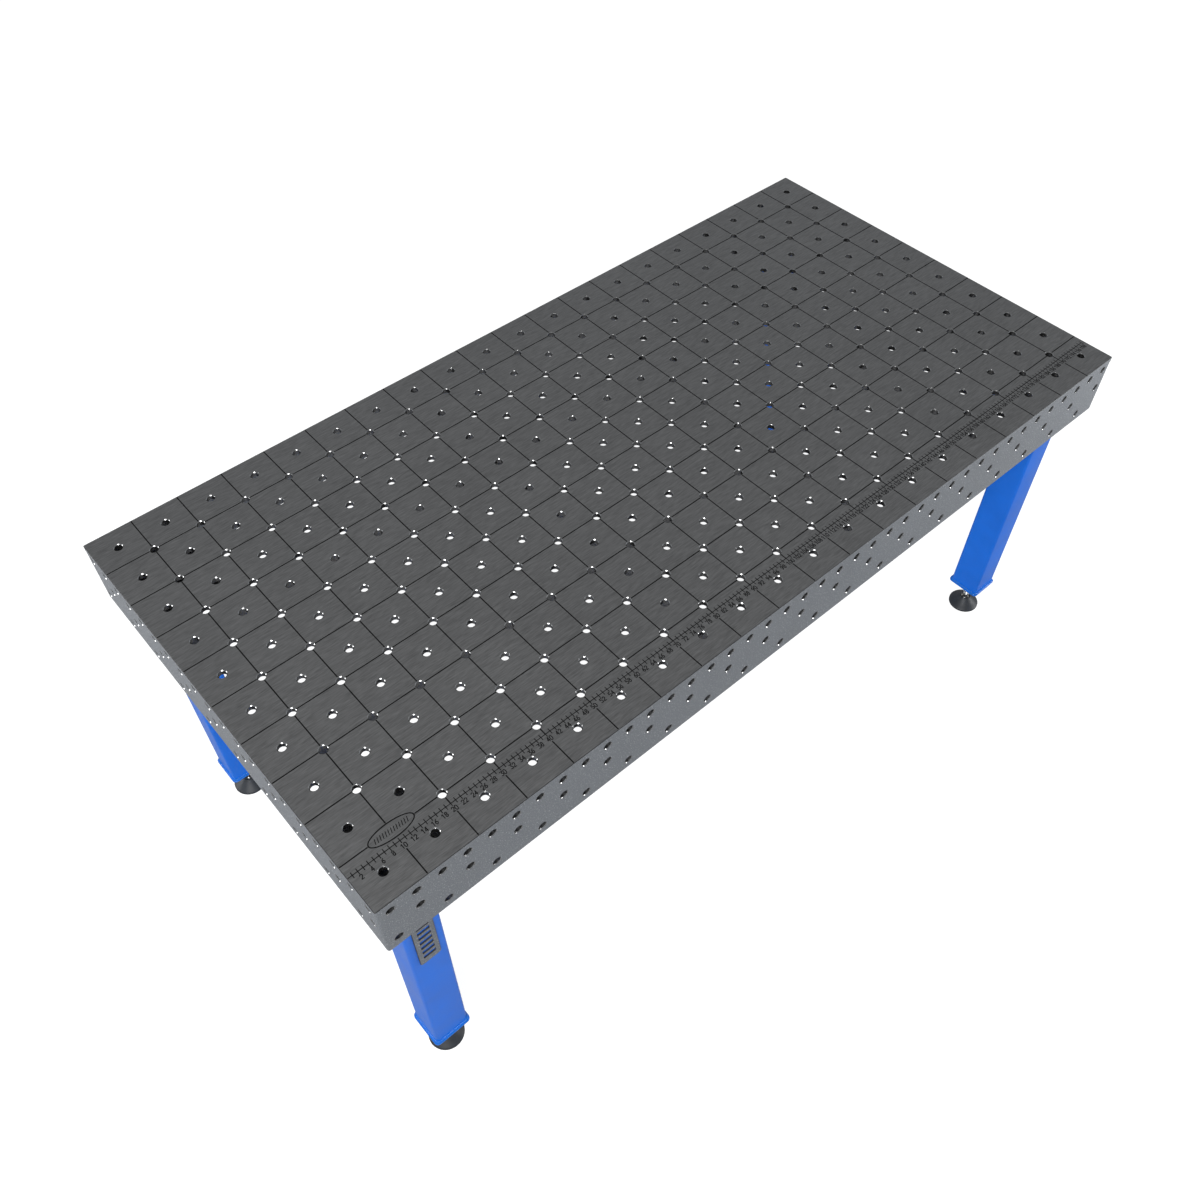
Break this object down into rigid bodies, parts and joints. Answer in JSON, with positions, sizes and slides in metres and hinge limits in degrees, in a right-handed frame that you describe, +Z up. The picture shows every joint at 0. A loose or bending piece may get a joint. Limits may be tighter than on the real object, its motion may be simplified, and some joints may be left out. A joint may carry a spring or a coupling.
{
  "type": "welding table",
  "caption": "Rectangular perforated steel welding table with drilled top and sides, scribed grid, ruler, four box-section legs and swivel levelling feet.",
  "frame": {"origin": "on the floor below the middle of the table top", "axes": "+X along the long side, left to right seen from the ruler side; +Y from the ruler side to the rear; +Z up"},
  "size_m": [2, 1, 0.89],
  "materials": {
    "top_steel": "dark brushed steel with fine grain along the length",
    "side_steel": "blasted grey steel, finely speckled",
    "rib_steel": "raw grey steel",
    "plate_steel": "laser-cut grey steel",
    "leg_paint": "blue powder coat, fine orange peel",
    "zinc_steel": "bright zinc plate",
    "nylon": "natural nylon",
    "pad_plastic": "dark slate glass-filled plastic",
    "sole_rubber": "black non-slip rubber"
  },
  "bodies": {
    "root": {"top_plate": "top_steel", "side_plate_front": "side_steel", "side_plate_rear": "side_steel", "end_plate_left": "side_steel", "end_plate_right": "side_steel", "long_rib_front": "rib_steel", "long_rib_rear": "rib_steel", "cross_rib_left": "rib_steel", "cross_rib_middle": "rib_steel", "cross_rib_right": "rib_steel", "name_plate": "plate_steel", "front_left_leg_mount": "rib_steel", "front_left_leg_flange": "leg_paint", "front_left_leg_tube": "leg_paint", "front_left_base_plate": "leg_paint", "front_left_thread_bush": "zinc_steel", "front_right_leg_mount": "rib_steel", "front_right_leg_flange": "leg_paint", "front_right_leg_tube": "leg_paint", "front_right_base_plate": "leg_paint", "front_right_thread_bush": "zinc_steel", "rear_left_leg_mount": "rib_steel", "rear_left_leg_flange": "leg_paint", "rear_left_leg_tube": "leg_paint", "rear_left_base_plate": "leg_paint", "rear_left_thread_bush": "zinc_steel", "rear_right_leg_mount": "rib_steel", "rear_right_leg_flange": "leg_paint", "rear_right_leg_tube": "leg_paint", "rear_right_base_plate": "leg_paint", "rear_right_thread_bush": "zinc_steel"},
    "front_left_foot": {"front_left_foot_ball": "zinc_steel"},
    "front_left_screw": {"front_left_spindle": "zinc_steel"},
    "front_left_cup": {"front_left_ball_cup": "nylon"},
    "front_left_pad": {"front_left_foot_pad": "pad_plastic", "front_left_foot_sole": "sole_rubber"},
    "front_left_washer": {"front_left_lock_washer": "zinc_steel"},
    "front_left_nut": {"front_left_lock_nut": "zinc_steel"},
    "front_right_foot": {"front_right_foot_ball": "zinc_steel"},
    "front_right_screw": {"front_right_spindle": "zinc_steel"},
    "front_right_cup": {"front_right_ball_cup": "nylon"},
    "front_right_pad": {"front_right_foot_pad": "pad_plastic", "front_right_foot_sole": "sole_rubber"},
    "front_right_washer": {"front_right_lock_washer": "zinc_steel"},
    "front_right_nut": {"front_right_lock_nut": "zinc_steel"},
    "rear_left_foot": {"rear_left_foot_ball": "zinc_steel"},
    "rear_left_screw": {"rear_left_spindle": "zinc_steel"},
    "rear_left_cup": {"rear_left_ball_cup": "nylon"},
    "rear_left_pad": {"rear_left_foot_pad": "pad_plastic", "rear_left_foot_sole": "sole_rubber"},
    "rear_left_washer": {"rear_left_lock_washer": "zinc_steel"},
    "rear_left_nut": {"rear_left_lock_nut": "zinc_steel"},
    "rear_right_foot": {"rear_right_foot_ball": "zinc_steel"},
    "rear_right_screw": {"rear_right_spindle": "zinc_steel"},
    "rear_right_cup": {"rear_right_ball_cup": "nylon"},
    "rear_right_pad": {"rear_right_foot_pad": "pad_plastic", "rear_right_foot_sole": "sole_rubber"},
    "rear_right_washer": {"rear_right_lock_washer": "zinc_steel"},
    "rear_right_nut": {"rear_right_lock_nut": "zinc_steel"}
  },
  "joints": [
    {"name": "front_left_lift", "type": "slide", "parent": "root", "child": "front_left_foot", "axis": [0, 0, 1], "range_m": [-0.02, 0.025]},
    {"name": "front_left_spin", "type": "hinge", "parent": "front_left_foot", "child": "front_left_screw", "pos_m": [-0.92, -0.418, 0.1], "axis": [0, 0, 1], "range_deg": [-2890, 3610]},
    {"name": "front_left_tilt_x", "type": "hinge", "parent": "front_left_foot", "child": "front_left_cup", "pos_m": [-0.92, -0.418, 0.018], "axis": [1, 0, 0], "range_deg": [-8, 8]},
    {"name": "front_left_tilt_y", "type": "hinge", "parent": "front_left_cup", "child": "front_left_pad", "pos_m": [-0.92, -0.418, 0.018], "axis": [0, 1, 0], "range_deg": [-8, 8]},
    {"name": "front_left_nut_travel", "type": "slide", "parent": "root", "child": "front_left_washer", "axis": [0, 0, 1], "range_m": [-0.01, 0]},
    {"name": "front_left_nut_turn", "type": "hinge", "parent": "front_left_washer", "child": "front_left_nut", "pos_m": [-0.92, -0.418, 0.083], "axis": [0, 0, 1], "range_deg": [-1450, 0]},
    {"name": "front_right_lift", "type": "slide", "parent": "root", "child": "front_right_foot", "axis": [0, 0, 1], "range_m": [-0.02, 0.025]},
    {"name": "front_right_spin", "type": "hinge", "parent": "front_right_foot", "child": "front_right_screw", "pos_m": [0.92, -0.418, 0.1], "axis": [0, 0, 1], "range_deg": [-2890, 3610]},
    {"name": "front_right_tilt_x", "type": "hinge", "parent": "front_right_foot", "child": "front_right_cup", "pos_m": [0.92, -0.418, 0.018], "axis": [1, 0, 0], "range_deg": [-8, 8]},
    {"name": "front_right_tilt_y", "type": "hinge", "parent": "front_right_cup", "child": "front_right_pad", "pos_m": [0.92, -0.418, 0.018], "axis": [0, 1, 0], "range_deg": [-8, 8]},
    {"name": "front_right_nut_travel", "type": "slide", "parent": "root", "child": "front_right_washer", "axis": [0, 0, 1], "range_m": [-0.01, 0]},
    {"name": "front_right_nut_turn", "type": "hinge", "parent": "front_right_washer", "child": "front_right_nut", "pos_m": [0.92, -0.418, 0.083], "axis": [0, 0, 1], "range_deg": [-1450, 0]},
    {"name": "rear_left_lift", "type": "slide", "parent": "root", "child": "rear_left_foot", "axis": [0, 0, 1], "range_m": [-0.02, 0.025]},
    {"name": "rear_left_spin", "type": "hinge", "parent": "rear_left_foot", "child": "rear_left_screw", "pos_m": [-0.92, 0.418, 0.1], "axis": [0, 0, 1], "range_deg": [-2890, 3610]},
    {"name": "rear_left_tilt_x", "type": "hinge", "parent": "rear_left_foot", "child": "rear_left_cup", "pos_m": [-0.92, 0.418, 0.018], "axis": [1, 0, 0], "range_deg": [-8, 8]},
    {"name": "rear_left_tilt_y", "type": "hinge", "parent": "rear_left_cup", "child": "rear_left_pad", "pos_m": [-0.92, 0.418, 0.018], "axis": [0, 1, 0], "range_deg": [-8, 8]},
    {"name": "rear_left_nut_travel", "type": "slide", "parent": "root", "child": "rear_left_washer", "axis": [0, 0, 1], "range_m": [-0.01, 0]},
    {"name": "rear_left_nut_turn", "type": "hinge", "parent": "rear_left_washer", "child": "rear_left_nut", "pos_m": [-0.92, 0.418, 0.083], "axis": [0, 0, 1], "range_deg": [-1450, 0]},
    {"name": "rear_right_lift", "type": "slide", "parent": "root", "child": "rear_right_foot", "axis": [0, 0, 1], "range_m": [-0.02, 0.025]},
    {"name": "rear_right_spin", "type": "hinge", "parent": "rear_right_foot", "child": "rear_right_screw", "pos_m": [0.92, 0.418, 0.1], "axis": [0, 0, 1], "range_deg": [-2890, 3610]},
    {"name": "rear_right_tilt_x", "type": "hinge", "parent": "rear_right_foot", "child": "rear_right_cup", "pos_m": [0.92, 0.418, 0.018], "axis": [1, 0, 0], "range_deg": [-8, 8]},
    {"name": "rear_right_tilt_y", "type": "hinge", "parent": "rear_right_cup", "child": "rear_right_pad", "pos_m": [0.92, 0.418, 0.018], "axis": [0, 1, 0], "range_deg": [-8, 8]},
    {"name": "rear_right_nut_travel", "type": "slide", "parent": "root", "child": "rear_right_washer", "axis": [0, 0, 1], "range_m": [-0.01, 0]},
    {"name": "rear_right_nut_turn", "type": "hinge", "parent": "rear_right_washer", "child": "rear_right_nut", "pos_m": [0.92, 0.418, 0.083], "axis": [0, 0, 1], "range_deg": [-1450, 0]}
  ],
  "couplings": [
    {"joint": "front_left_spin", "follows": "front_left_lift", "rad_per_m": 2513.3},
    {"joint": "front_left_nut_turn", "follows": "front_left_nut_travel", "rad_per_m": 2513.3},
    {"joint": "front_right_spin", "follows": "front_right_lift", "rad_per_m": 2513.3},
    {"joint": "front_right_nut_turn", "follows": "front_right_nut_travel", "rad_per_m": 2513.3},
    {"joint": "rear_left_spin", "follows": "rear_left_lift", "rad_per_m": 2513.3},
    {"joint": "rear_left_nut_turn", "follows": "rear_left_nut_travel", "rad_per_m": 2513.3},
    {"joint": "rear_right_spin", "follows": "rear_right_lift", "rad_per_m": 2513.3},
    {"joint": "rear_right_nut_turn", "follows": "rear_right_nut_travel", "rad_per_m": 2513.3}
  ]
}
